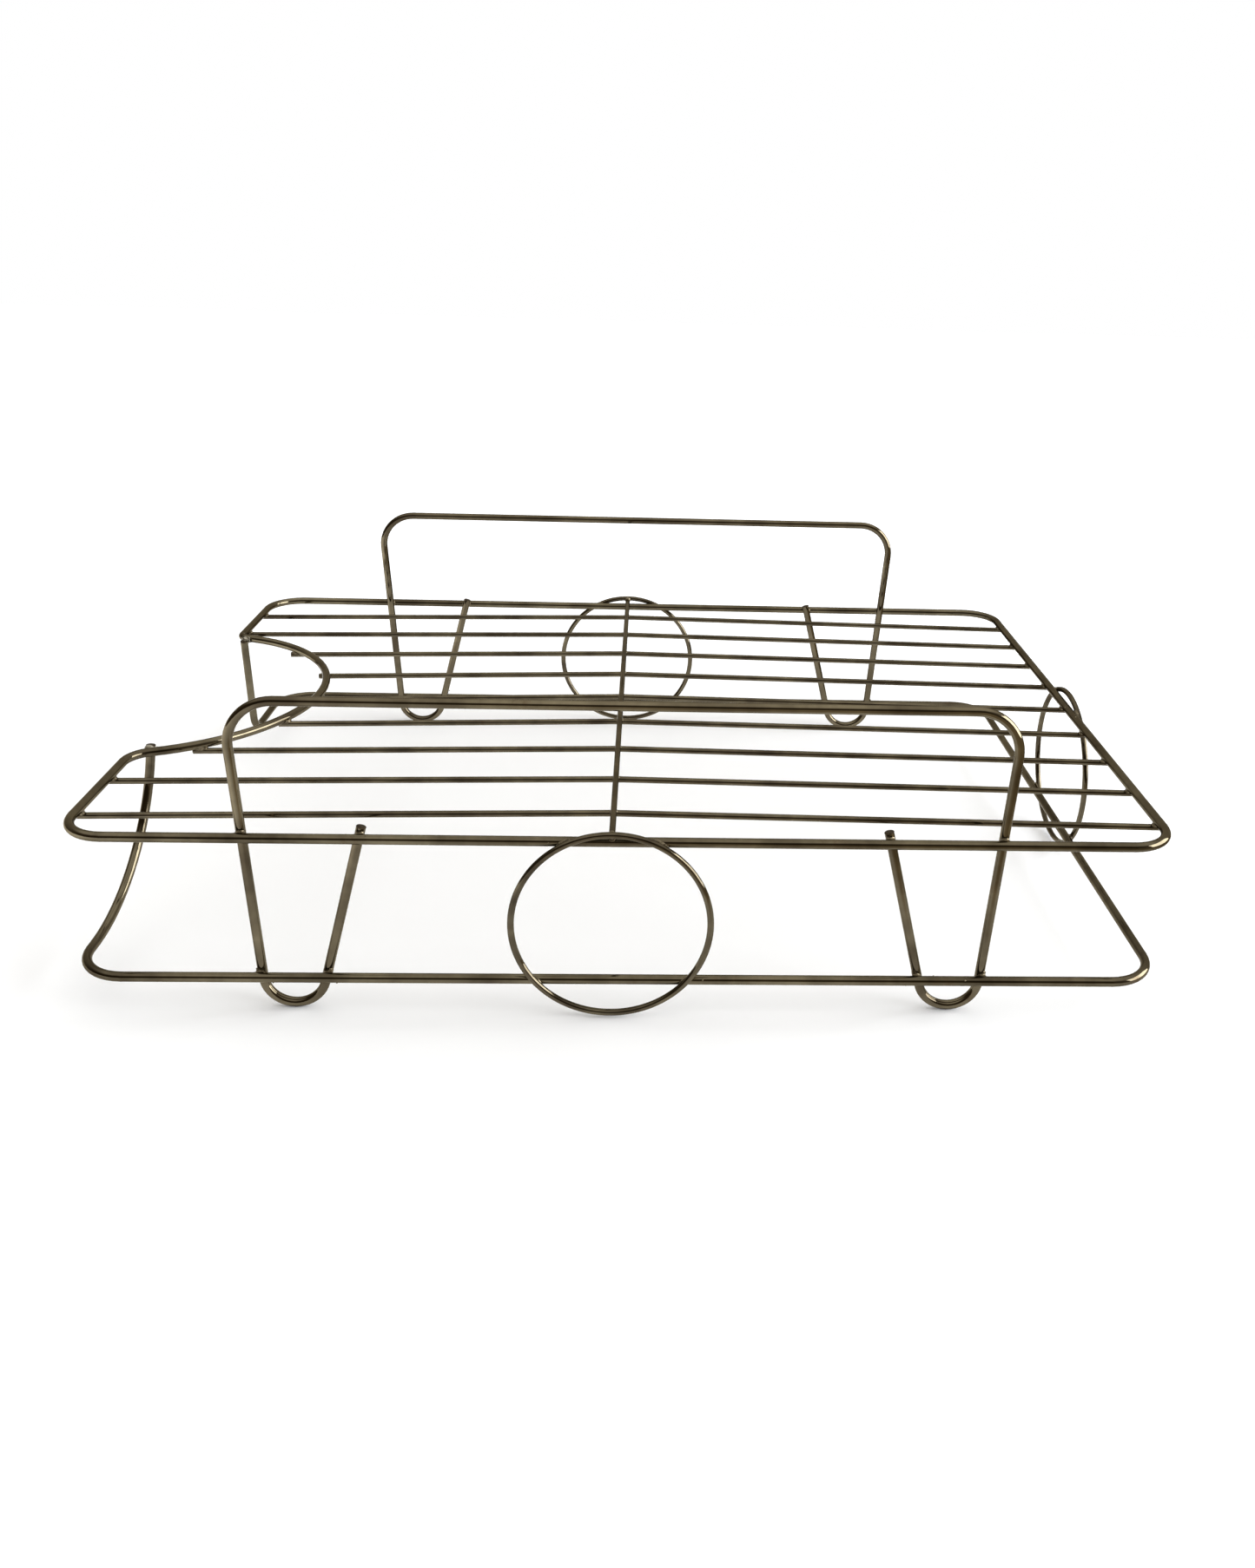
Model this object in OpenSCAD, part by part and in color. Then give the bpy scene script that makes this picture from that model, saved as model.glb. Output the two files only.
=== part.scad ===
// Dish drying rack: seventeen bent steel wires, spot welded where they cross.
// A rim wire with a concave bay on the left carries nine grid wires and a cross wire.
// A base wire, three rings and two handle wires with U-shaped feet hold the deck up.
// X runs to the right, Y to the back, Z up; the origin is on the table, under the middle of the deck.

/* [Deck] */
// Width of the deck, between the middles of the rim wire
deck_w = 440; // [360:5:540]
// Depth of the deck, between the middles of the rim wire
deck_d = 312; // [260:2:400]
// Height of the middle of the rim wire above the table
deck_h = 77; // [64:1:110]
// Bend radius of the deck corners, to the middle of the wire
deck_corner_r = 18; // [12:1:36]
// Number of grid wires
grid_count = 9; // [5:2:13]
// Distance from the rim wire to the first grid wire, middle to middle
grid_edge = 24; // [15:0.5:30]
// Bend radius of the grid wires where they pass under the cross wire
crown_r = 120; // [40:10:300]
// How far the cross wire stands to the left of the middle of the deck
cross_offset = 6; // [0:1:40]

/* [Bay] */
// Depth of the concave bay in the left side
bay_depth = 64; // [40:1:80]
// Radius of the hollow curve of the bay, to the middle of the wire
bay_r = 83; // [70:1:100]
// Bend radius where the bay meets the front part of the left side
bay_front_r = 12; // [8:1:20]
// Bend radius where the bay meets the back part of the left side
bay_back_r = 6; // [5:1:20]
// How far the middles of the bay and of the right ring lie behind the middle of the deck
bay_shift = 3.5; // [0:0.5:10]

/* [Base] */
// Height of the middle of the base wire above the table
base_h = 15.5; // [12:0.5:25]
// Bend radius of the base corners, to the middle of the wire
base_corner_r = 20; // [12:1:35]
// Share of the free wire that the sweeping bend of the front upright takes up
sweep_share = 0.92; // [0.3:0.02:0.96]
// Bend radius at the foot of the back upright
upright_back_r = 14; // [8:1:20]
// How far the front upright leans forward from its top to its bend
upright_front_lean = 3; // [0:1:10]
// Share of the side behind it that the back upright leans over from its top to its bend
upright_back_lean = 0.33; // [0:0.01:0.5]
// How far the front upright's cut end stands above the middle of the rim wire
upright_front_end = 1.8; // [0:0.1:8]
// How far the back upright's cut end stands above the middle of the rim wire
upright_back_end = -0.6; // [-1:0.1:8]

/* [Handles and feet] */
// Height of the middle of the handle bars above the table
handle_h = 132.5; // [110:0.5:180]
// Bend radius of the handle corners
handle_corner_r = 18; // [12:1:40]
// Distance between the middles of the two feet of one handle wire
foot_spacing = 266; // [200:2:330]
// Bend radius of a U-shaped foot, to the middle of the wire
foot_r = 12.5; // [8:0.5:16]
// Outward lean of the outer legs, in degrees
outer_lean = 4; // [0:0.2:10]
// Inward lean of the inner legs, in degrees
inner_lean = 14; // [0:0.5:18]
// How far the cut ends of the inner legs stand above the rim wire
leg_stub = 1.6; // [0:0.2:10]

/* [Rings] */
// Gap between the rings and the table
ring_gap = 0.8; // [0.5:0.1:8]
// How far the middle of a ring's top lies above the middle of the cross wire
ring_rise = 1.4; // [0.4:0.1:1.8]

/* [Wire] */
// Diameter of the rim wire and the base wire
rim_wire = 4; // [3:0.1:6]
// Diameter of the two handle wires
handle_wire = 3.9; // [3:0.1:6]
// Diameter of the grid wires
grid_wire = 2.7; // [2:0.1:4]
// Diameter of the cross wire
cross_wire = 2.6; // [2:0.1:4]
// Diameter of the ring wires
ring_wire = 2.7; // [2:0.1:4]
// How deep two crossing wires melt into each other at a weld
weld_sink = 0.3; // [0.1:0.05:0.5]
// How far a grid wire runs on past the middle of the straight rim
grid_end = 1.4; // [0:0.1:3]
// How far a grid wire runs on past the middle of the bay wire
grid_end_bay = 3; // [0:0.1:6]

/* [Hidden] */
grid_nodes = [for (i = [1 : grid_count]) str("grid_wire_", i)];

half_w = deck_w / 2;
half_d = deck_d / 2;
cross_x = -cross_offset;

// Facets round the wire, along each bend, and along a ring
wire_fn = 32;
bend_steps = 16;
ring_steps = 96;
// Straight lengths shorter than this are left out between two bends
shortest = 0.01;
// A hair-thin sleeve over each end of a bend melts the bend and its neighbours into one solid
sleeve_over = 0.04;
sleeve_len = 0.6;

// Colours of the tarnished plating, one for each thickness of wire
rim_colour = [0.38, 0.35, 0.28];
handle_colour = [0.36, 0.33, 0.26];
thin_colour = [0.33, 0.30, 0.24];

// Heights of the wires' middles: grid wires hang under the rim wire,
// the cross wire lies on top of it
grid_end_z = deck_h - (rim_wire + grid_wire) / 2 + weld_sink;
cross_z = deck_h + (rim_wire + cross_wire) / 2 - weld_sink;
grid_top_z = cross_z - (cross_wire + grid_wire) / 2 + weld_sink;

// Rings stand outside the rim wire and the base wire, handle wires inside them
ring_out = (rim_wire + ring_wire) / 2 - weld_sink;
handle_in = (rim_wire + handle_wire) / 2 - weld_sink;

// The rings reach from just above the table to the ends of the cross wire
ring_top_z = cross_z + ring_rise;
ring_bottom_z = ring_gap + ring_wire / 2;
ring_r = (ring_top_z - ring_bottom_z) / 2;
ring_z = (ring_top_z + ring_bottom_z) / 2;

// The bay is a hollow arc with a rounded corner at each end: how far each corner turns,
// and where along the left side it begins
bay_front_turn = acos(1 - bay_depth / (bay_r + bay_front_r));
bay_back_turn = acos(1 - bay_depth / (bay_r + bay_back_r));
bay_front_y = bay_shift - (bay_r + bay_front_r) * sin(bay_front_turn);
bay_back_y = bay_shift + (bay_r + bay_back_r) * sin(bay_back_turn);

// The uprights touch the rounded corners of the bay from the open side
front_touch = bay_front_r + rim_wire - weld_sink;
back_touch = bay_back_r + rim_wire - weld_sink;
front_upright_top = [
    -half_w + bay_front_r - front_touch * cos(bay_front_turn),
    bay_front_y + front_touch * sin(bay_front_turn),
    deck_h + upright_front_end
];
back_upright_top = [
    -half_w + bay_back_r - back_touch * cos(bay_back_turn),
    bay_back_y - back_touch * sin(bay_back_turn),
    deck_h + upright_back_end
];

// Where the uprights would meet the base wire if their bends were sharp
front_upright_foot = [-half_w, front_upright_top.y - upright_front_lean, base_h];
back_side = half_d - base_corner_r - back_upright_top.y;
back_upright_foot = [-half_w, back_upright_top.y + upright_back_lean * back_side, base_h];

// The front upright sweeps into the base in the widest bend that its straights allow
front_side = half_d - base_corner_r + front_upright_foot.y;
front_rise = front_upright_top - front_upright_foot;
upright_front_r = sweep_share * min(front_side, norm(front_rise))
    / tan(turn(-front_rise, [0, -1, 0]) / 2);

// Unit vector along v
function unit(v) = v / norm(v);

// Angle between two directions
function turn(a, b) = acos(unit(a) * unit(b));

// Length from the corner of a bend to where its curve begins
function tangent(r, angle) = r * tan(angle / 2);

// Point i of a route, counted round and round
function at(points, i) = points[(i + len(points)) % len(points)];

// Length of wire that the bend at point i takes from the straights beside it
function trim(points, radii, i) =
    tangent(at(radii, i), turn(at(points, i) - at(points, i - 1), at(points, i + 1) - at(points, i)));

// X of the middle of the left rim at a given y, in the bay as well as beside it
function rim_left_x(y) =
    y <= bay_front_y || y >= bay_back_y ? -half_w
    : y < bay_shift - bay_r * sin(bay_front_turn)
        ? -half_w + bay_front_r - sqrt(pow(bay_front_r, 2) - pow(y - bay_front_y, 2))
    : y > bay_shift + bay_r * sin(bay_back_turn)
        ? -half_w + bay_back_r - sqrt(pow(bay_back_r, 2) - pow(bay_back_y - y, 2))
    : -half_w + bay_depth - bay_r + sqrt(pow(bay_r, 2) - pow(y - bay_shift, 2));

// A straight length of round wire from a to b
module straight(a, b, d) {
    run = b - a;
    if (norm(run) > shortest)
        translate(a)
            rotate([0, acos(run.z / norm(run)), atan2(run.y, run.x)])
                cylinder(d = d, h = norm(run), $fn = wire_fn);
}

// The bend of a round wire that comes from one point and turns at a corner to another.
// Sleeves are placed at the shares of the bend's angle that are given: 0 its start, 1 its end.
module bend(from, corner, to, r, d, sleeves) {
    ahead = unit(corner - from);
    angle = turn(corner - from, to - corner);
    axis = unit(cross(corner - from, to - corner));
    inward = cross(axis, ahead);
    centre = corner - ahead * tangent(r, angle) + inward * r;
    multmatrix([
        [-inward.x, ahead.x, axis.x, centre.x],
        [-inward.y, ahead.y, axis.y, centre.y],
        [-inward.z, ahead.z, axis.z, centre.z],
        [0, 0, 0, 1]
    ]) {
        rotate_extrude(angle = angle, $fn = ceil(bend_steps * 360 / angle))
            translate([r, 0])
                circle(d = d, $fn = wire_fn);
        for (share = sleeves)
            rotate([0, 0, share * angle])
                translate([r, 0, 0])
                    rotate([90, 0, 0])
                        cylinder(d = d + sleeve_over, h = sleeve_len, center = true, $fn = wire_fn);
    }
}

// A round wire bent along a route of corner points, open at both ends or closed to a loop.
// Each point has a bend radius; the first and the last of an open route go unused.
module wire(points, radii, d, closed = false) {
    last = len(points) - 1;
    trims = [for (i = [0 : last]) closed || (i > 0 && i < last) ? trim(points, radii, i) : 0];
    for (i = [0 : closed ? last : last - 1]) {
        a = points[i];
        b = at(points, i + 1);
        ahead = unit(b - a);
        straight(a + ahead * trims[i], b - ahead * at(trims, i + 1), d);
    }
    for (i = [closed ? 0 : 1 : closed ? last : last - 1]) {
        // The start of the next bend has a sleeve already where no straight lies between
        free = norm(at(points, i + 1) - points[i]) - trims[i] - at(trims, i + 1);
        sleeves = free > shortest ? [0, 1] : [0];
        bend(at(points, i - 1), points[i], at(points, i + 1), radii[i], d, sleeves);
    }
}

// A ring bent from thin wire, standing upright across the Y axis
module ring() {
    color(thin_colour)
        rotate([90, 0, 0])
            rotate_extrude($fn = ring_steps)
                translate([ring_r, 0])
                    circle(d = ring_wire, $fn = wire_fn);
}

// Rim of the deck: a closed loop of thick wire with the bay in its left side
module deck_frame() {
    bay_x = -half_w + bay_depth;
    color(rim_colour)
        translate([0, 0, deck_h])
            wire(
                [
                    [-half_w, -half_d, 0],
                    [half_w, -half_d, 0],
                    [half_w, half_d, 0],
                    [-half_w, half_d, 0],
                    [-half_w, bay_back_y - tangent(bay_back_r, bay_back_turn), 0],
                    [bay_x, bay_shift + tangent(bay_r, bay_back_turn), 0],
                    [bay_x, bay_shift - tangent(bay_r, bay_front_turn), 0],
                    [-half_w, bay_front_y + tangent(bay_front_r, bay_front_turn), 0]
                ],
                [
                    deck_corner_r,
                    deck_corner_r,
                    deck_corner_r,
                    deck_corner_r,
                    bay_back_r,
                    bay_r,
                    bay_r,
                    bay_front_r
                ],
                rim_wire,
                closed = true
            );
}

// Base wire: round three sides near the table, with both ends bent up to the bay's corners
module base_frame() {
    color(rim_colour)
        wire(
            [
                front_upright_top,
                front_upright_foot,
                [-half_w, -half_d, base_h],
                [half_w, -half_d, base_h],
                [half_w, half_d, base_h],
                [-half_w, half_d, base_h],
                back_upright_foot,
                back_upright_top
            ],
            [
                0,
                upright_front_r,
                base_corner_r,
                base_corner_r,
                base_corner_r,
                base_corner_r,
                upright_back_r,
                0
            ],
            rim_wire
        );
}

// Cross wire: over the grid wires and the rim, butted against the tops of two rings
module cross_wire() {
    reach = half_d + ring_out - ring_wire / 2 + weld_sink;
    color(thin_colour)
        straight([cross_x, -reach, cross_z], [cross_x, reach, cross_z], cross_wire);
}

// Grid wire number i, counted from the front: it rises from the rim to the cross wire
module grid_wire(i) {
    pitch = (deck_d - 2 * grid_edge) / (grid_count - 1);
    y = -half_d + grid_edge + (i - 1) * pitch;
    left_x = rim_left_x(y);
    left_weld = [left_x, y, grid_end_z];
    right_weld = [half_w, y, grid_end_z];
    crown = [cross_x, y, grid_top_z];
    left_over = left_x > -half_w ? grid_end_bay : grid_end;
    color(thin_colour)
        wire(
            [
                left_weld + unit(left_weld - crown) * left_over,
                crown,
                right_weld + unit(right_weld - crown) * grid_end
            ],
            [0, crown_r, 0],
            grid_wire
        );
}

// Handle wire: one bent wire makes the handle bar, both outer legs,
// both U-shaped feet and both inner legs
module handle_wire_bent() {
    foot_z = handle_wire / 2;
    stub_z = deck_h + rim_wire / 2 + leg_stub;
    foot_x = foot_spacing / 2;
    // Corners of the foot, where the leaning legs would meet the table line
    outer_x = foot_x + tangent(foot_r, 90 - outer_lean);
    inner_x = foot_x - tangent(foot_r, 90 - inner_lean);
    handle_x = outer_x + (handle_h - foot_z) * tan(outer_lean);
    stub_x = inner_x - (stub_z - foot_z) * tan(inner_lean);
    wire(
        [
            [-stub_x, 0, stub_z],
            [-inner_x, 0, foot_z],
            [-outer_x, 0, foot_z],
            [-handle_x, 0, handle_h],
            [handle_x, 0, handle_h],
            [outer_x, 0, foot_z],
            [inner_x, 0, foot_z],
            [stub_x, 0, stub_z]
        ],
        [0, foot_r, foot_r, handle_corner_r, handle_corner_r, foot_r, foot_r, 0],
        handle_wire
    );
}

module front_handle_wire() {
    color(handle_colour)
        translate([0, -half_d + handle_in, 0])
            handle_wire_bent();
}

module back_handle_wire() {
    color(handle_colour)
        translate([0, half_d - handle_in, 0])
            handle_wire_bent();
}

module front_ring() {
    translate([cross_x, -half_d - ring_out, ring_z])
        ring();
}

module back_ring() {
    translate([cross_x, half_d + ring_out, ring_z])
        ring();
}

module right_ring() {
    translate([half_w + ring_out, bay_shift, ring_z])
        rotate([0, 0, 90])
            ring();
}

deck_frame();
base_frame();
cross_wire();
for (i = [1 : grid_count])
    grid_wire(i);
front_handle_wire();
back_handle_wire();
front_ring();
back_ring();
right_ring();
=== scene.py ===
import itertools
import math
import random

import bpy
import numpy as np
from mathutils import Matrix, Vector
from mathutils.bvhtree import BVHTree
from mathutils.geometry import intersect_line_line, intersect_ray_tri


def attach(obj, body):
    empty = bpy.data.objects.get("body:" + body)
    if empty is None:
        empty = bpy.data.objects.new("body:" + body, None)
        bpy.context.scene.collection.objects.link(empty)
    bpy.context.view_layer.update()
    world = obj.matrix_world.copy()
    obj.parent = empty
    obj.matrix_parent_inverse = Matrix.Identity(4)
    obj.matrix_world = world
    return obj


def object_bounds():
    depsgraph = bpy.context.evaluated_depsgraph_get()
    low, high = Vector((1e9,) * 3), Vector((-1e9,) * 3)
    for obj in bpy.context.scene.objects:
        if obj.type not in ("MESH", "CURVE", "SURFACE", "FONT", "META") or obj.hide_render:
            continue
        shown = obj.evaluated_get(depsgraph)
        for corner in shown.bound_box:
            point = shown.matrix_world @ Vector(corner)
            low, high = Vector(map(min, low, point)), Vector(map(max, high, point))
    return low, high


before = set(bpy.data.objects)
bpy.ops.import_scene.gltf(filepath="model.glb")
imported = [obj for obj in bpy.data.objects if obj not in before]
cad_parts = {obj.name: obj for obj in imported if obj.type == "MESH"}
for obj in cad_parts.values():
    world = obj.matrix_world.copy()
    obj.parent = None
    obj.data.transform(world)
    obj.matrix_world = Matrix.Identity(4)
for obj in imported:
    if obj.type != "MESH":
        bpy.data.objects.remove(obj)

# A welded wire dish rack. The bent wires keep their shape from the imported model. This script
# gives them their aged plating, and adds what the welder and the shears left on them.

cad_low, cad_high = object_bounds()
MM = 0.001
draw = random.Random(23)


def linear(hex_colour):
    """A paint-card colour such as "6c6352" as linear red, green, blue and alpha."""
    parts = [int(hex_colour[i:i + 2], 16) / 255 for i in (0, 2, 4)]
    return tuple(c / 12.92 if c <= 0.04045 else ((c + 0.055) / 1.055) ** 2.4 for c in parts) + (1.0,)


def per_metre(millimetres):
    """Texture scale for a pattern that repeats about once in this many millimetres."""
    return 1000 / millimetres


def put(tree, kind, feeds=None, **settings):
    """Adds a node. settings are its own properties; feeds are its inputs, as values or sockets."""
    node = tree.nodes.new(kind)
    for name, value in settings.items():
        setattr(node, name, value)
    for name, value in (feeds or {}).items():
        if isinstance(value, bpy.types.NodeSocket):
            tree.links.new(value, node.inputs[name])
        else:
            node.inputs[name].default_value = value
    return node


# ---------------------------------------------------------------- finishes

def aged_plate(name, worn, dull, patch, grain, polish, sheen_bump):
    """Drawn steel wire with a bronze-nickel plate that has gone dull. It gives the eye a warm grey
    brown with thin sharp highlights along the wire, clouded by duller patches.
    worn and dull are its rubbed and its tarnished colour, patch and grain the sizes in mm of the
    tarnish patches and of the mottle, polish the roughness where it is cleanest, and sheen_bump
    how strongly its skin waves. Pits in old plate are usually finer than this mottle, and are
    drawn as coarse as they need to be to show."""
    material = bpy.data.materials.new(name)
    material.use_nodes = True
    tree = material.node_tree
    tree.nodes.clear()
    place = put(tree, "ShaderNodeTexCoord").outputs["Object"]
    patches = put(tree, "ShaderNodeTexNoise", {
        "Vector": place, "Scale": per_metre(patch), "Detail": 4.0, "Roughness": 0.62,
    }).outputs["Fac"]
    mottle = put(tree, "ShaderNodeTexNoise", {
        "Vector": place, "Scale": per_metre(grain), "Detail": 3.0, "Roughness": 0.6,
    }).outputs["Fac"]
    pits = put(tree, "ShaderNodeTexVoronoi", {
        "Vector": place, "Scale": per_metre(grain * 0.6), "Randomness": 1.0,
    }).outputs["Distance"]
    # painted shade: ambient occlusion finds the corners beside the welds, and there the plate is
    # darkened towards near black, made rougher and less metallic; it stands also for soot and dried
    # water gathered there
    open_air = put(tree, "ShaderNodeAmbientOcclusion", {"Distance": 4 * MM}, samples=8).outputs["AO"]
    corners = put(tree, "ShaderNodeMapRange", {
        "Value": open_air, "From Min": 0.7, "From Max": 0.3, "To Min": 0.0, "To Max": 0.45,
    }).outputs["Result"]
    # water stains, brown, scattered by a noise of their own
    blots = put(tree, "ShaderNodeTexNoise", {
        "Vector": place, "Scale": per_metre(patch * 0.45), "Detail": 6.0, "Roughness": 0.7,
    }).outputs["Fac"]
    stains = put(tree, "ShaderNodeMapRange", {
        "Value": blots, "From Min": 0.6, "From Max": 0.72, "To Min": 0.0, "To Max": 0.55,
    }).outputs["Result"]
    tone_share = put(tree, "ShaderNodeMapRange", {
        "Value": patches, "From Min": 0.34, "From Max": 0.66,
    }).outputs["Result"]
    tone = put(tree, "ShaderNodeMix", {
        0: tone_share, 6: linear(dull), 7: linear(worn),
    }, data_type="RGBA").outputs[2]
    grain_share = put(tree, "ShaderNodeMapRange", {
        "Value": mottle, "From Min": 0.3, "From Max": 0.7, "To Min": 0.0, "To Max": 0.25,
    }).outputs["Result"]
    mottled = put(tree, "ShaderNodeMix", {
        0: grain_share, 6: tone, 7: linear(dull),
    }, data_type="RGBA").outputs[2]
    stained = put(tree, "ShaderNodeMix", {
        0: stains, 6: mottled, 7: linear("4d3a22"),
    }, data_type="RGBA").outputs[2]
    # painted shade: the plate's colour is mixed towards near black in the occluded corners
    colour = put(tree, "ShaderNodeMix", {
        0: corners, 6: stained, 7: linear("1f1810"),
    }, data_type="RGBA").outputs[2]
    metal_share = put(tree, "ShaderNodeMath", {
        0: corners, 1: -0.7, 2: 1.0,
    }, operation="MULTIPLY_ADD").outputs[0]
    rough_grain = put(tree, "ShaderNodeMath", {
        0: mottle, 1: 0.08, 2: polish - 0.04,
    }, operation="MULTIPLY_ADD")
    rough_stain = put(tree, "ShaderNodeMath", {
        0: stains, 1: 0.3, 2: rough_grain.outputs[0],
    }, operation="MULTIPLY_ADD").outputs[0]
    rough = put(tree, "ShaderNodeMath", {
        0: corners, 1: 0.35, 2: rough_stain,
    }, operation="MULTIPLY_ADD").outputs[0]
    relief = put(tree, "ShaderNodeMath", {
        0: pits, 1: 0.35, 2: mottle,
    }, operation="MULTIPLY_ADD").outputs[0]
    bump = put(tree, "ShaderNodeBump", {
        "Height": relief, "Strength": sheen_bump, "Distance": 0.12 * MM,
    }).outputs["Normal"]
    wave = put(tree, "ShaderNodeBump", {
        "Height": patches, "Normal": bump, "Strength": sheen_bump, "Distance": 0.9 * MM,
    }).outputs["Normal"]
    shader = put(tree, "ShaderNodeBsdfPrincipled", {
        "Base Color": colour, "Metallic": metal_share, "Roughness": rough, "Normal": wave,
        "Coat Weight": 0.3, "Coat Roughness": 0.06,
        "Specular Tint": linear("b8b2a6"),
    })
    put(tree, "ShaderNodeOutputMaterial", {"Surface": shader.outputs["BSDF"]})
    return material


def scorched_weld(name, clean, burnt, rough):
    """A weld bead: steel that melted and skinned over, browned by its own heat. It gives the eye a
    lumpy spot, rougher than the plate beside it. clean and burnt are its two colours."""
    material = bpy.data.materials.new(name)
    material.use_nodes = True
    tree = material.node_tree
    tree.nodes.clear()
    place = put(tree, "ShaderNodeTexCoord").outputs["Object"]
    scale = put(tree, "ShaderNodeTexNoise", {
        "Vector": place, "Scale": per_metre(1.3), "Detail": 5.0, "Roughness": 0.65,
    }).outputs["Fac"]
    share = put(tree, "ShaderNodeMapRange", {
        "Value": scale, "From Min": 0.36, "From Max": 0.64,
    }).outputs["Result"]
    colour = put(tree, "ShaderNodeMix", {
        0: share, 6: linear(burnt), 7: linear(clean),
    }, data_type="RGBA").outputs[2]
    roughness = put(tree, "ShaderNodeMath", {
        0: scale, 1: -0.3, 2: rough + 0.15,
    }, operation="MULTIPLY_ADD").outputs[0]
    bump = put(tree, "ShaderNodeBump", {
        "Height": scale, "Strength": 0.6, "Distance": 0.25 * MM,
    }).outputs["Normal"]
    shader = put(tree, "ShaderNodeBsdfPrincipled", {
        "Base Color": colour, "Metallic": 0.9, "Roughness": roughness, "Normal": bump,
    })
    put(tree, "ShaderNodeOutputMaterial", {"Surface": shader.outputs["BSDF"]})
    return material


rim_plate = aged_plate(
    "aged_bronze_plate_on_4mm_wire", worn="736a54", dull="433a29", patch=30, grain=4.2,
    polish=0.07, sheen_bump=0.12)
handle_plate = aged_plate(
    "aged_bronze_plate_on_handles", worn="786e57", dull="473d2c", patch=38, grain=4.2,
    polish=0.07, sheen_bump=0.10)
thin_plate = aged_plate(
    "aged_bronze_plate_on_thin_wire", worn="6d644f", dull="3f3627", patch=22, grain=3.0,
    polish=0.07, sheen_bump=0.12)
dark_weld = scorched_weld("scorched_steel_weld", clean="857a64", burnt="3f3524", rough=0.34)
bright_weld = scorched_weld("silver_grey_braze", clean="b9b4a6", burnt="6d6554", rough=0.30)
sheared_steel = scorched_weld("sheared_rusty_steel", clean="4a3e2c", burnt="261c11", rough=0.5)

RIMS = ("deck_frame", "base_frame")
HANDLES = ("front_handle_wire", "back_handle_wire")
for name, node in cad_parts.items():
    plate = rim_plate if name in RIMS else handle_plate if name in HANDLES else thin_plate
    for slot in node.material_slots:
        slot.material = plate

# ---------------------------------------------------------------- welds

# crossing points and cut ends closer together than this belong to one weld
SAME_WELD = 9 * MM
# weld metal wraps a wire up to this share of its radius
CLIP = 0.92
# points round a bead, and steps down a fillet's curve from foot to foot
SIDES = 28
SAG = 6
# triangles smaller than this, in square metres, are passed over in the search for cut ends, and
# those that face the same way in planes this close are one flat face
SLIVER = 1e-12
SAME_PLANE = 0.05 * MM


def surface_tree(node):
    """A search tree over one wire's skin, with its corner points and triangles."""
    mesh = node.data
    mesh.calc_loop_triangles()
    corners = [v.co.copy() for v in mesh.vertices]
    triangles = [tuple(t.vertices) for t in mesh.loop_triangles]
    return BVHTree.FromPolygons(corners, triangles, all_triangles=True), corners, triangles


skins = {name: surface_tree(node) for name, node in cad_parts.items()}


def cut_ends(name):
    """(centre, outward direction, radius) of each flat end of a wire: triangles that fill a circle."""
    _, corners, triangles = skins[name]
    flats = {}
    for triangle in triangles:
        a, b, c = (corners[k] for k in triangle)
        normal = (b - a).cross(c - a)
        area = normal.length / 2
        if area < SLIVER:
            continue
        normal.normalize()
        key = tuple(round(x, 2) for x in normal) + (round(normal.dot(a) / SAME_PLANE),)
        flats.setdefault(key, []).append((area, normal, (a, b, c)))
    ends = []
    for group in flats.values():
        total = sum(area for area, _, _ in group)
        points = np.array([p for _, _, t in group for p in t])
        centre = Vector((points.min(0) + points.max(0)) / 2)
        radius = max((Vector(p) - centre).length for p in points)
        if len(group) >= 8 and abs(total / (math.pi * radius ** 2) - 1) < 0.1:
            ends.append((centre, group[0][1], radius))
    return ends


wire_ends = {name: cut_ends(name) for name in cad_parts}


def room_to_end(name, near, out):
    """How far weld metal can spread this way before it would hang past the wire's cut end."""
    room = math.inf
    for centre, off, _ in wire_ends[name]:
        if (centre - near).length < SAME_WELD and out.dot(off) > 0.01:
            room = min(room, (centre - near).dot(off) / out.dot(off))
    return room


def crossing_points(one, other):
    """Points where edges of one wire's skin go through the other's."""
    tree_a, points_a, faces_a = skins[one]
    tree_b, points_b, faces_b = skins[other]
    found = []
    for i, j in tree_a.overlap(tree_b):
        a = [points_a[k] for k in faces_a[i]]
        b = [points_b[k] for k in faces_b[j]]
        for edged, cut in ((a, b), (b, a)):
            for k in range(3):
                start, along = edged[k], edged[(k + 1) % 3] - edged[k]
                hit = intersect_ray_tri(*cut, along, start, True)
                if hit is not None and 0 <= (hit - start).dot(along) <= along.length_squared:
                    found.append(hit)
    return found


def weld_places(one, other):
    """The middle of each spot where two wires are fused."""
    groups = []
    for point in crossing_points(one, other):
        for group in groups:
            if (group[0] - point).length < SAME_WELD:
                group.append(point)
                break
        else:
            groups.append([point])
    places = []
    for group in groups:
        spots = np.array(group)
        places.append(Vector((spots.min(0) + spots.max(0)) / 2))
    return places


def wire_beside(name, place, reach=5.5 * MM):
    """(point on the axis, direction, radius) of the wire that passes this place, from its skin."""
    near = skins[name][0].find_nearest_range(place, reach)
    seen = {}
    for spot, normal, _, _ in near:
        seen.setdefault(tuple(round(c, 2) for c in normal), (spot, normal))
    spots = np.array([s for s, _ in seen.values()]) - np.array(place)
    normals = np.array([n for _, n in seen.values()])
    _, axes = np.linalg.eigh(normals.T @ normals)
    along, side, up = axes.T
    # the wire's round side, not a cut face: there each point lies one radius out from the axis
    skin = np.abs(normals @ along) < 0.5
    table = np.c_[normals[skin] @ side, normals[skin] @ up, np.ones(skin.sum())]
    level = np.einsum("ij,ij->i", normals[skin], spots[skin])
    (s, u, radius), *_ = np.linalg.lstsq(table, level, rcond=None)
    return place + Vector(side * s + up * u), Vector(along), radius


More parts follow.
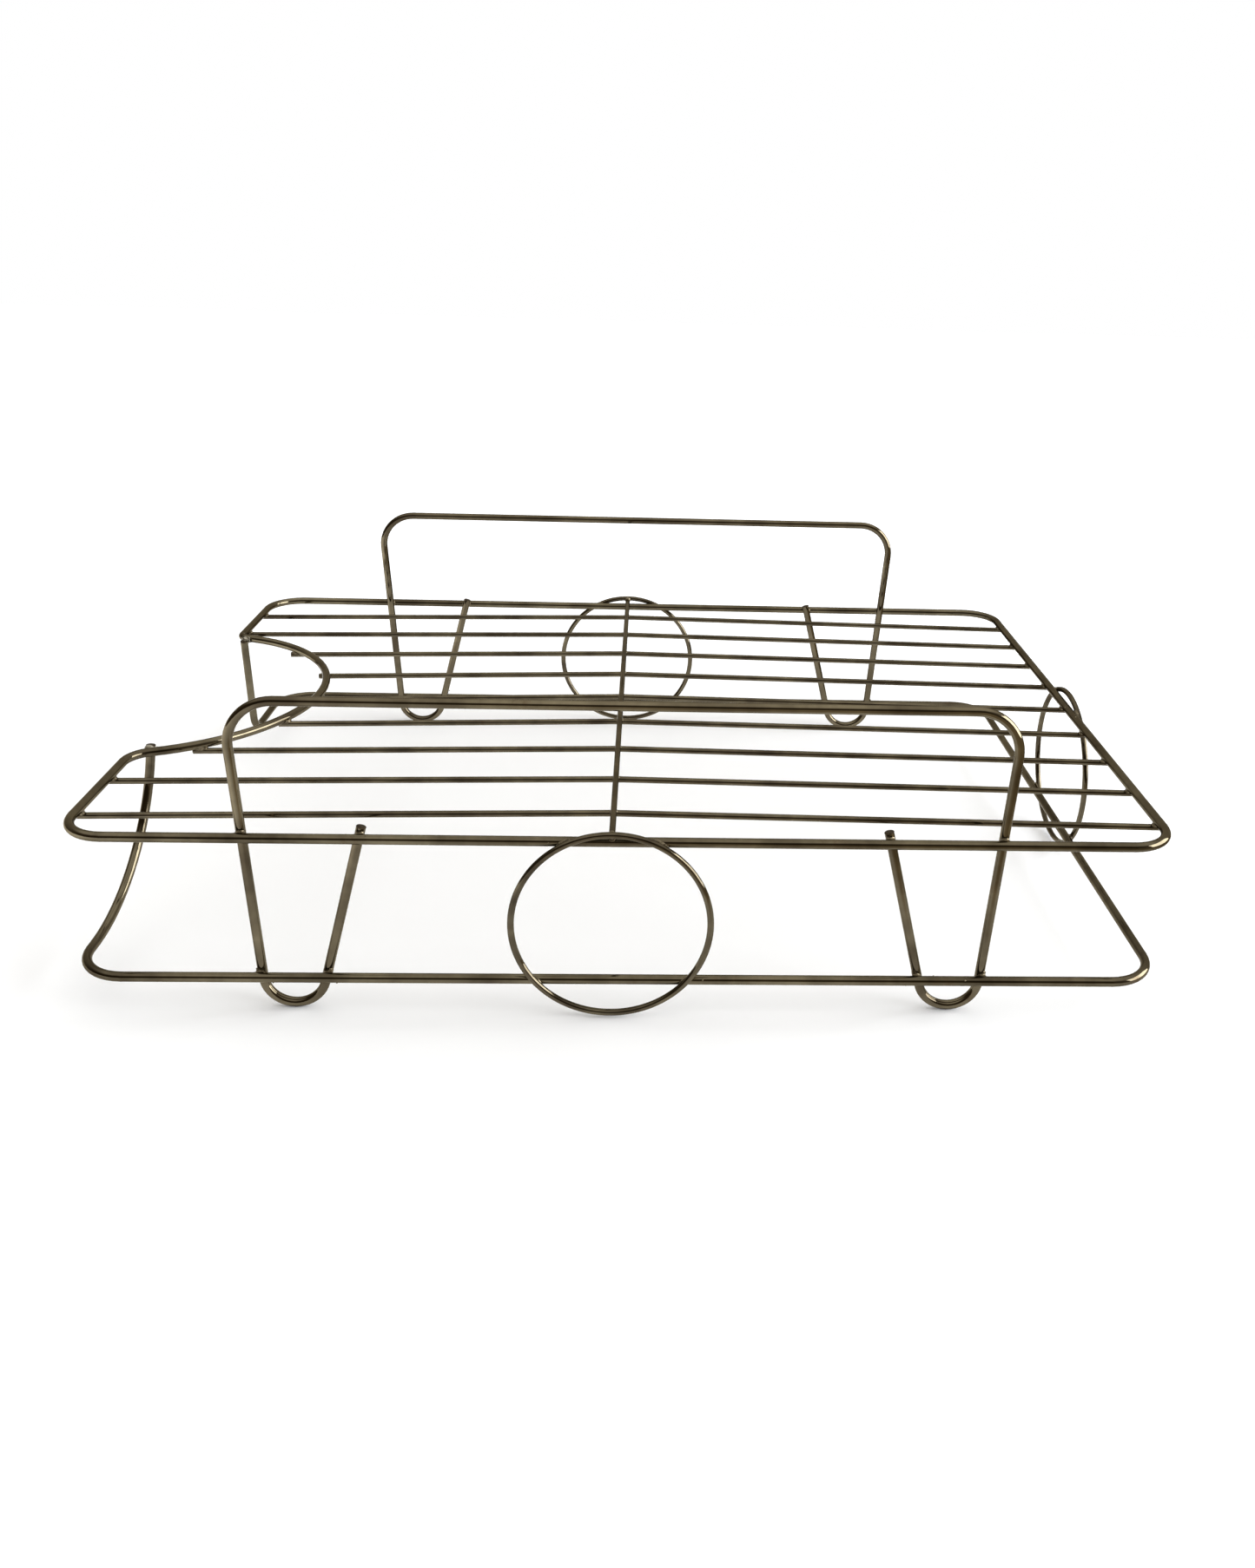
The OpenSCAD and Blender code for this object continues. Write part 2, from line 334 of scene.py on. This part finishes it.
def add_closed_rings(shape, rings, first, last):
    """Adds a closed skin over rings of points, ending in a point at each end."""
    corners, faces = shape
    base = len(corners)
    count = len(rings[0])
    corners.append(first)
    for ring in rings:
        corners.extend(ring)
    corners.append(last)
    end = len(corners) - 1
    for k in range(count):
        following = (k + 1) % count
        faces.append((base, base + 1 + following, base + 1 + k))
        for level in range(len(rings) - 1):
            low = base + 1 + level * count
            high = low + count
            faces.append((low + k, low + following, high + following, high + k))
        top = base + 1 + (len(rings) - 1) * count
        faces.append((top + k, top + following, end))


def uneven(amount):
    """A smooth, slightly lumpy multiplier for going round a bead."""
    waves = [(n, draw.uniform(0, 2 * math.pi), draw.uniform(0.3, 1) / n) for n in (2, 3, 5)]
    return lambda angle: 1 + amount * sum(size * math.sin(n * angle + start) for n, start, size in waves)


# A fillet's feet sink a little into the wires, its waist is drawn in between them, and two inner
# rings at each end close it inside the wire: each is a share of the reach and of the drop
FOOT_SINK = 0.965
WAIST_SHARE = 0.82
INNER_RINGS = ((0.4, 0.4), (0.9, 0.85))


def add_fillet(shape, place, one, other, spread):
    """The skirt of metal squeezed out where two wires cross, from one's skin to the other's."""
    axis_a, along_a, radius_a = wire_beside(one, place)
    axis_b, along_b, radius_b = wire_beside(other, place)
    near_a, near_b = intersect_line_line(axis_a, axis_a + along_a, axis_b, axis_b + along_b)
    press = (near_b - near_a).normalized()
    across_a, across_b = press.cross(along_a).normalized(), press.cross(along_b).normalized()
    side = press.orthogonal().normalized()
    lift = press.cross(side)
    lump = uneven(0.22)
    rings = [[] for _ in range(SAG + 1 + 2 * len(INNER_RINGS))]
    for k in range(SIDES):
        angle = 2 * math.pi * k / SIDES
        out = side * math.cos(angle) + lift * math.sin(angle)
        wanted = spread * lump(angle)
        clip_a = CLIP * radius_a / max(abs(out.dot(across_a)), 1e-6)
        clip_b = CLIP * radius_b / max(abs(out.dot(across_b)), 1e-6)
        reach_a = min(wanted, clip_a, room_to_end(one, near_a, out))
        reach_b = min(wanted, clip_b, room_to_end(other, near_b, out))
        drop_a = math.sqrt(radius_a ** 2 - (reach_a * out.dot(across_a)) ** 2)
        drop_b = math.sqrt(radius_b ** 2 - (reach_b * out.dot(across_b)) ** 2)
        foot_a = near_a + out * reach_a + press * drop_a * FOOT_SINK
        foot_b = near_b + out * reach_b - press * drop_b * FOOT_SINK
        between = (near_a + press * radius_a + near_b - press * radius_b) / 2
        waist = between + out * min(reach_a, reach_b) * WAIST_SHARE
        for level, (wide, deep) in enumerate(INNER_RINGS):
            rings[level].append(near_a + out * reach_a * wide + press * drop_a * deep)
            rings[-1 - level].append(near_b + out * reach_b * wide - press * drop_b * deep)
        for step in range(SAG + 1):
            t = step / SAG
            spot = foot_a * (1 - t) ** 2 + waist * 2 * t * (1 - t) + foot_b * t ** 2
            rings[len(INNER_RINGS) + step].append(spot)
    add_closed_rings(shape, rings, near_a.copy(), near_b.copy())


def add_nugget(shape, centre, along, long, wide, levels=9):
    """A lumpy bead of weld metal, longer along one direction."""
    side = along.orthogonal().normalized()
    lift = along.cross(side).normalized()
    lump = uneven(0.16)
    rings = []
    for level in range(1, levels):
        lean = math.pi * level / levels
        ring = []
        for k in range(SIDES):
            angle = 2 * math.pi * k / SIDES
            out = side * math.cos(angle) + lift * math.sin(angle)
            away = out * wide * math.sin(lean) * lump(angle + lean)
            ring.append(centre + away - along * long * math.cos(lean))
        rings.append(ring)
    add_closed_rings(shape, rings, centre - along * long, centre + along * long)


# how far the droplets flew from the weld and how big they are, in mm
SPATTER_TRAVEL = (2.6, 8)
SPATTER_SIZE = (0.22, 0.42)


def add_spatter(shape, place, name, count):
    """Droplets that flew from the weld and froze on the wire."""
    axis, along, radius = wire_beside(name, place)
    side = along.orthogonal().normalized()
    lift = along.cross(side).normalized()
    for _ in range(count):
        angle = draw.uniform(0, 2 * math.pi)
        travel = draw.choice((-1, 1)) * draw.uniform(*SPATTER_TRAVEL) * MM
        out = side * math.cos(angle) + lift * math.sin(angle)
        size = draw.uniform(*SPATTER_SIZE) * MM
        add_nugget(shape, axis + along * travel + out * radius, out, size * 0.8, size, 5)


def finish_piece(name, shape, material):
    """Makes one named piece of the gathered skins."""
    corners, faces = shape
    mesh = bpy.data.meshes.new(name)
    mesh.from_pydata([tuple(c) for c in corners], [], faces)
    mesh.update()
    mesh.shade_smooth()
    mesh.materials.append(material)
    piece = bpy.data.objects.new(name, mesh)
    bpy.context.scene.collection.objects.link(piece)
    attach(piece, "root")


# how far the metal of each kind of weld spreads from its middle
UPRIGHT_SPREAD = 3.0 * MM
GRID_CROSS_SPREAD = 3.1 * MM
GRID_RIM_SPREAD = 3.4 * MM
CROSS_RIM_SPREAD = 1.9 * MM
RING_SPREAD = 3.4 * MM
LEG_SPREAD = 3.6 * MM


def weld_family(one, other):
    """Which group of welds a pair of wires belongs to, and how far its metal spreads."""
    pair = {one, other}
    if pair == set(RIMS):
        return "upright_welds", UPRIGHT_SPREAD
    if "cross_wire" in pair and any("ring" in n for n in pair):
        return "cross_end_welds", 0
    if any("grid" in n for n in pair):
        if "cross_wire" in pair:
            return "grid_cross_welds", GRID_CROSS_SPREAD
        return "grid_rim_welds", GRID_RIM_SPREAD
    if "cross_wire" in pair:
        return "cross_end_welds", CROSS_RIM_SPREAD
    if any("ring" in n for n in pair):
        return "ring_welds", RING_SPREAD
    return "handle_leg_welds", LEG_SPREAD


# half length and half width of the bead that joins the cross wire's end to a ring, and of the
# nugget on each upright's weld, which sits a little above it
CROSS_END_BEAD = (1.5 * MM, 1.75 * MM)
UPRIGHT_NUGGET = (2.1 * MM, 1.6 * MM)
NUGGET_LIFT = Vector((0, 0, 0.6 * MM))

welds = {}
for one, other in itertools.combinations(sorted(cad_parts), 2):
    for place in weld_places(one, other):
        family, spread = weld_family(one, other)
        shape = welds.setdefault(family, ([], []))
        if spread:
            add_fillet(shape, place, one, other, spread)
        else:
            add_nugget(shape, place, Vector((0, 1, 0)), *CROSS_END_BEAD)
        if family in ("ring_welds", "handle_leg_welds"):
            add_spatter(shape, place, one, draw.randint(1, 3))
        if family == "upright_welds":
            add_nugget(shape, place + NUGGET_LIFT, Vector((1, 0, 0)), *UPRIGHT_NUGGET)
for family, shape in sorted(welds.items()):
    bright = family == "upright_welds"
    finish_piece(family, shape, bright_weld if bright else dark_weld)

# ---------------------------------------------------------------- sheared ends

BURR = 0.25 * MM
# the end from its skirt inside the wire to its crown: (share of the wire's radius, height in burrs)
SHEAR_PROFILE = ((0.96, -0.3), (1.015, -0.12), (1.03, 0.05), (0.98, 0.3), (0.8, 0.75), (0.45, 0.95))


def add_sheared_end(shape, centre, out, radius):
    """The face that wire shears leave: a slight dome, leaning, with a burr at its edge."""
    side = out.orthogonal().normalized()
    lift = out.cross(side).normalized()
    lean = draw.uniform(0, 2 * math.pi)
    lump = uneven(0.03)
    rings = []
    for width, height in SHEAR_PROFILE:
        ring = []
        for k in range(SIDES):
            angle = 2 * math.pi * k / SIDES
            tilt = 0.5 * width * math.cos(angle - lean) * max(height, 0)
            away = (side * math.cos(angle) + lift * math.sin(angle)) * radius * width * lump(angle)
            ring.append(centre + away + out * BURR * (height + tilt))
        rings.append(ring)
    add_closed_rings(shape, rings, centre - out * BURR, centre + out * BURR)


ends = ([], [])
for name in sorted(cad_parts):
    for centre, out, radius in wire_ends[name]:
        add_sheared_end(ends, centre, out, radius)
finish_piece("sheared_wire_ends", ends, sheared_steel)

# ---------------------------------------------------------------- room and light


def glow(name, colour, strength):
    """A plain light-giving cloth."""
    material = bpy.data.materials.new(name)
    material.use_nodes = True
    tree = material.node_tree
    tree.nodes.clear()
    lamp = put(tree, "ShaderNodeEmission", {"Color": linear(colour), "Strength": strength})
    put(tree, "ShaderNodeOutputMaterial", {"Surface": lamp.outputs["Emission"]})
    return material


def panel(name, centre, facing, width, height, material):
    """A flat studio panel, facing a point, that the camera itself doesn't see."""
    mesh = bpy.data.meshes.new(name)
    w, h = width / 2, height / 2
    mesh.from_pydata([(-w, -h, 0), (w, -h, 0), (w, h, 0), (-w, h, 0)], [], [(0, 1, 2, 3)])
    mesh.materials.append(material)
    made = bpy.data.objects.new(name, mesh)
    bpy.context.scene.collection.objects.link(made)
    made.location = centre
    made.rotation_euler = (Vector(facing) - Vector(centre)).to_track_quat("Z", "Y").to_euler()
    made.visible_camera = False
    made.visible_shadow = False
    return made


# matt white paper with no shine of its own, showing the rack's soft shadow; it also glows, painted light
# that is weaker close to the rack
PAPER_NEAR, PAPER_FAR = 0.11, 0.5
floor_material = bpy.data.materials.new("white_seamless_paper")
floor_material.use_nodes = True
paper = floor_material.node_tree
paper.nodes.clear()
fibre = put(paper, "ShaderNodeTexNoise", {"Scale": per_metre(3), "Detail": 4.0}).outputs["Fac"]
fibre_bump = put(paper, "ShaderNodeBump", {"Height": fibre, "Strength": 0.1, "Distance": 0.05 * MM})
# painted light: the sweep glows more strongly further from the rack, so that its far edge is lost in
# white, and less close to it, which leaves a broad painted shade round the rack
paper_spot = put(paper, "ShaderNodeTexCoord").outputs["Object"]
paper_way = put(paper, "ShaderNodeVectorMath", {0: paper_spot}, operation="LENGTH").outputs["Value"]
paper_glow = put(paper, "ShaderNodeMapRange", {
    "Value": paper_way, "From Min": 0.12, "From Max": 0.6, "To Min": PAPER_NEAR, "To Max": PAPER_FAR,
}, interpolation_type="SMOOTHSTEP").outputs["Result"]
paper_face = put(paper, "ShaderNodeBsdfPrincipled", {
    "Base Color": linear("efefef"), "Roughness": 0.9, "Normal": fibre_bump.outputs["Normal"],
    "Specular IOR Level": 0.0, "Emission Color": linear("f0f6ff"), "Emission Strength": paper_glow,
})
put(paper, "ShaderNodeOutputMaterial", {"Surface": paper_face.outputs["BSDF"]})
floor_mesh = bpy.data.meshes.new("floor")
FLOOR_REACH = 3.0
floor_corners = [(x * FLOOR_REACH, y * FLOOR_REACH, 0) for x, y in ((-1, -1), (1, -1), (1, 1), (-1, 1))]
floor_mesh.from_pydata(floor_corners, [], [(0, 1, 2, 3)])
floor_mesh.materials.append(floor_material)
floor = bpy.data.objects.new("floor", floor_mesh)
bpy.context.scene.collection.objects.link(floor)
floor.location = (0, 0, cad_low.z)

# a wide window on the right, a little in front of the rack
WINDOW_WIDTH, WINDOW_HEIGHT = 2.6, 1.7
daylight = glow("daylight_scrim", "f7faff", 9.0)
panel("window_light", (2.5, -0.3, 0.85), (0, 0, 0.4), WINDOW_WIDTH, WINDOW_HEIGHT, daylight)

# what the wires mirror of the tabletop: white paper close by, then the dark room in front and to
# the left, and the bright boards under the window on the right
UNDER_RACK = 1.1
tabletop = glow("tabletop_mirrored_in_the_wires", "ffffff", UNDER_RACK)
board = tabletop.node_tree
lamp = next(node for node in board.nodes if node.type == "EMISSION")
spot = put(board, "ShaderNodeTexCoord").outputs["Object"]
spread_out = put(board, "ShaderNodeVectorMath", {0: spot}, operation="ABSOLUTE").outputs["Vector"]
past_rack = put(board, "ShaderNodeVectorMath", {
    0: spread_out, 1: (cad_high.x, cad_high.y, 1),
}, operation="SUBTRACT").outputs["Vector"]
clear_of_rack = put(board, "ShaderNodeVectorMath", {0: past_rack, 1: (0, 0, 0)}, operation="MAXIMUM")
gap = put(board, "ShaderNodeVectorMath", {
    0: clear_of_rack.outputs["Vector"],
}, operation="LENGTH").outputs["Value"]
far_share = put(board, "ShaderNodeMapRange", {
    "Value": gap, "From Min": 0.02, "From Max": 0.14,
}, interpolation_type="SMOOTHSTEP").outputs["Result"]
way_out = put(board, "ShaderNodeVectorMath", {0: spot}, operation="NORMALIZE").outputs["Vector"]
way = put(board, "ShaderNodeSeparateXYZ", {"Vector": way_out})
# the far light by direction: a curve through these four, sideways a parabola and front to back a line
TO_RIGHT, TO_BACK, TO_LEFT, TO_FRONT = 2.0, 0.7, 0.4, 0.22
middle_light = (TO_BACK + TO_FRONT) / 2
side_bend = (TO_RIGHT + TO_LEFT) / 2 - middle_light
sideways = put(board, "ShaderNodeMath", {
    0: way.outputs["X"], 1: side_bend, 2: (TO_RIGHT - TO_LEFT) / 2,
}, operation="MULTIPLY_ADD")
across = put(board, "ShaderNodeMath", {
    0: sideways.outputs[0], 1: way.outputs["X"], 2: middle_light,
}, operation="MULTIPLY_ADD")
far_light = put(board, "ShaderNodeMath", {
    0: way.outputs["Y"], 1: (TO_BACK - TO_FRONT) / 2, 2: across.outputs[0],
}, operation="MULTIPLY_ADD").outputs[0]
light = put(board, "ShaderNodeMix", {0: far_share, 2: UNDER_RACK, 3: far_light}).outputs[0]
warm_share = put(board, "ShaderNodeMapRange", {
    "Value": light, "From Min": 1.0, "From Max": 0.4,
}).outputs["Result"]
tint = put(board, "ShaderNodeMix", {
    0: warm_share, 6: linear("ffffff"), 7: linear("ffe7bb"),
}, data_type="RGBA").outputs[2]
board.links.new(light, lamp.inputs["Strength"])
board.links.new(tint, lamp.inputs["Color"])
TABLE_SIDE = 6.0
table_middle = (0, 0, cad_low.z + 1.5 * MM)
mirrored = panel("tabletop_for_the_wires", table_middle, (0, 0, 3), TABLE_SIDE, TABLE_SIDE, tabletop)
mirrored.visible_diffuse = False

# the light of the room's walls, of its dark front and of its ceiling, which is brighter than white
WALLS = (0.62, 0.58, 0.52, 1)
DARK_FRONT = (0.11, 0.083, 0.05, 1)
CEILING = (1.15, 1.13, 1.08, 1)
TO_DARK_FRONT = (-0.45, -0.9, 0.0)
room = bpy.data.worlds.new("room")
bpy.context.scene.world = room
room.use_nodes = True
air = room.node_tree
air.nodes.clear()
heading = put(air, "ShaderNodeTexCoord").outputs["Generated"]
facing_front = put(air, "ShaderNodeVectorMath", {0: heading, 1: TO_DARK_FRONT}, operation="DOT_PRODUCT")
front_share = put(air, "ShaderNodeMapRange", {
    "Value": facing_front.outputs["Value"], "From Min": -0.6, "From Max": 0.6,
}).outputs["Result"]
walls = put(air, "ShaderNodeMix", {
    0: front_share, 6: WALLS, 7: DARK_FRONT,
}, data_type="RGBA").outputs[2]
height = put(air, "ShaderNodeSeparateXYZ", {"Vector": heading}).outputs["Z"]
ceiling_share = put(air, "ShaderNodeMapRange", {
    "Value": height, "From Min": 0.5, "From Max": 0.85,
}, interpolation_type="SMOOTHSTEP").outputs["Result"]
above = put(air, "ShaderNodeMix", {
    0: ceiling_share, 6: walls, 7: CEILING,
}, data_type="RGBA").outputs[2]
sky = put(air, "ShaderNodeBackground", {"Color": above, "Strength": 1.0})
put(air, "ShaderNodeOutputWorld", {"Surface": sky.outputs["Background"]})

# a white surround that only the camera sees, so that the paper has no horizon
surround_mesh = bpy.data.meshes.new("surround")
TURNS = 48
SURROUND_R, SURROUND_TOP, SURROUND_FOOT, SURROUND_PEAK = 11, 11, -5, 12
turn_angles = [2 * math.pi * k / TURNS for k in range(TURNS)]
ring_points = [(SURROUND_R * math.cos(angle), SURROUND_R * math.sin(angle)) for angle in turn_angles]
surround_mesh.from_pydata(
    [(x, y, SURROUND_FOOT) for x, y in ring_points]
    + [(x, y, SURROUND_TOP) for x, y in ring_points]
    + [(0, 0, SURROUND_PEAK)],
    [],
    [(k, (k + 1) % TURNS, TURNS + (k + 1) % TURNS, TURNS + k) for k in range(TURNS)]
    + [(TURNS + k, TURNS + (k + 1) % TURNS, 2 * TURNS) for k in range(TURNS)],
)
surround_mesh.materials.append(glow("white_surround", "ffffff", 1.0))
surround = bpy.data.objects.new("surround", surround_mesh)
bpy.context.scene.collection.objects.link(surround)
surround.visible_diffuse = False
surround.visible_glossy = False
surround.visible_shadow = False
surround.visible_transmission = False
surround.visible_volume_scatter = False

# ---------------------------------------------------------------- camera

# where the camera stands, in metres, and how it is turned, in radians
EYE = Vector((0.00587, -0.62248, 0.31761))
PITCH, YAW, ROLL = 0.2964, 0.0489, 0.0330
ahead = Vector((math.sin(YAW) * math.cos(PITCH), math.cos(YAW) * math.cos(PITCH), -math.sin(PITCH)))
level_right = Vector((math.cos(YAW), -math.sin(YAW), 0))
level_up = level_right.cross(ahead)
right = level_right * math.cos(ROLL) + level_up * math.sin(ROLL)
up = -level_right * math.sin(ROLL) + level_up * math.cos(ROLL)
camera_data = bpy.data.cameras.new("camera")
camera_data.sensor_width = 36
camera_data.lens = 30.252
camera_data.shift_x = -0.0517
camera_data.shift_y = -0.1147
camera_data.clip_start = 0.01
camera_data.clip_end = 60
camera = bpy.data.objects.new("camera", camera_data)
bpy.context.scene.collection.objects.link(camera)
camera.matrix_world = Matrix((
    (right.x, up.x, -ahead.x, EYE.x),
    (right.y, up.y, -ahead.y, EYE.y),
    (right.z, up.z, -ahead.z, EYE.z),
    (0, 0, 0, 1),
))
bpy.context.scene.camera = camera
bpy.context.scene.view_settings.view_transform = "Standard"
